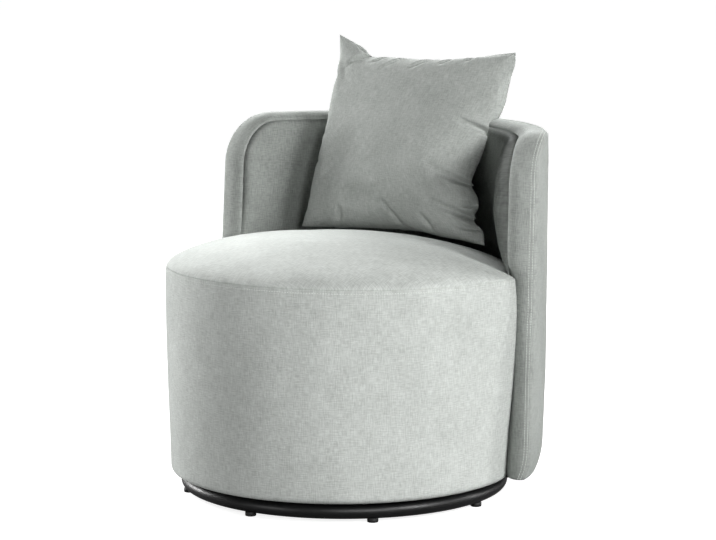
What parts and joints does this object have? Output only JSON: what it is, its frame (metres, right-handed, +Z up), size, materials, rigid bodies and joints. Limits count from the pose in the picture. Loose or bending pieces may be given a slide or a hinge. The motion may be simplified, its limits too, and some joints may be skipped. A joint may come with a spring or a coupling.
{
  "type": "swivel tub armchair",
  "caption": "Round drum-seat swivel armchair with a low wraparound upholstered back, a loose scatter cushion and a black ring base.",
  "frame": {"origin": "centre of the overall plan box on the floor; the swivel axis stands 17.8 mm in front of it", "axes": "+Z up, front of the seat towards -Y, +X to the right of a viewer who faces the front"},
  "size_m": [0.6914, 0.6636, 0.7678],
  "materials": {
    "chair_fabric": "pale sage-grey chenille with a fine cross weave, matt with a soft sheen",
    "cushion_fabric": "same pale sage-grey chenille, softer and more creased",
    "black_steel": "satin black powder coat",
    "glide_plastic": "matt black",
    "zinc_steel": "bright zinc plate",
    "bearing_steel": "polished",
    "bush_plastic": "natural nylon",
    "plywood": "bare birch plywood",
    "softwood": "bare planed pine",
    "fibreboard": "bare fibreboard",
    "webbing": "dark woven elastic webbing",
    "lining": "black non-woven lining",
    "foam": "cream upholstery foam",
    "filling": "white polyester fibre"
  },
  "bodies": {
    "base": {"base_ring": "black_steel", "cross_bar_long": "black_steel", "cross_bar_right": "black_steel", "cross_bar_left": "black_steel", "foot_1": "glide_plastic", "foot_2": "glide_plastic", "foot_3": "glide_plastic", "foot_4": "glide_plastic", "foot_5": "glide_plastic", "foot_6": "glide_plastic", "foot_7": "glide_plastic", "foot_8": "glide_plastic", "swivel_lower_plate": "zinc_steel", "swivel_ball_cage": "bearing_steel", "swivel_centre_bush": "bush_plastic", "plate_bolt_1": "zinc_steel", "plate_bolt_2": "zinc_steel", "plate_bolt_3": "zinc_steel", "plate_bolt_4": "zinc_steel"},
    "seat": {"swivel_upper_plate": "zinc_steel", "plate_screw_1": "zinc_steel", "plate_screw_2": "zinc_steel", "plate_screw_3": "zinc_steel", "plate_screw_4": "zinc_steel", "bottom_board": "plywood", "seat_ring_board": "plywood", "drum_side_board": "fibreboard", "drum_post_1": "softwood", "drum_post_2": "softwood", "drum_post_3": "softwood", "drum_post_4": "softwood", "webbing_across_1": "webbing", "webbing_across_2": "webbing", "webbing_across_3": "webbing", "webbing_along_1": "webbing", "webbing_along_2": "webbing", "dust_cover": "lining", "seat_foam": "foam", "drum_side_padding": "foam", "drum_side_cover": "chair_fabric", "seat_top_cover": "chair_fabric", "back_inner_ply": "plywood", "back_outer_ply": "plywood", "back_top_rail": "softwood", "back_rib_1": "softwood", "back_rib_2": "softwood", "back_rib_3": "softwood", "back_bolt_1": "zinc_steel", "back_bolt_2": "zinc_steel", "back_bolt_3": "zinc_steel", "back_bolt_4": "zinc_steel", "back_inner_foam": "foam", "back_outer_foam": "foam", "back_inner_cover": "chair_fabric", "back_outer_cover": "chair_fabric", "back_edge_band": "chair_fabric", "back_bottom_lining": "lining"},
    "cushion": {"cushion_front_cover": "cushion_fabric", "cushion_back_cover": "cushion_fabric", "cushion_filling": "filling"}
  },
  "joints": [
    {"name": "seat_swivel", "type": "hinge", "parent": "base", "child": "seat", "pos_m": [0, -0.0178, 0.03215], "axis": [0, 0, 1], "continuous": true},
    {"name": "cushion_lift", "type": "slide", "parent": "seat", "child": "cushion", "axis": [0, 0, 1], "range_m": [0, 0.45]}
  ]
}
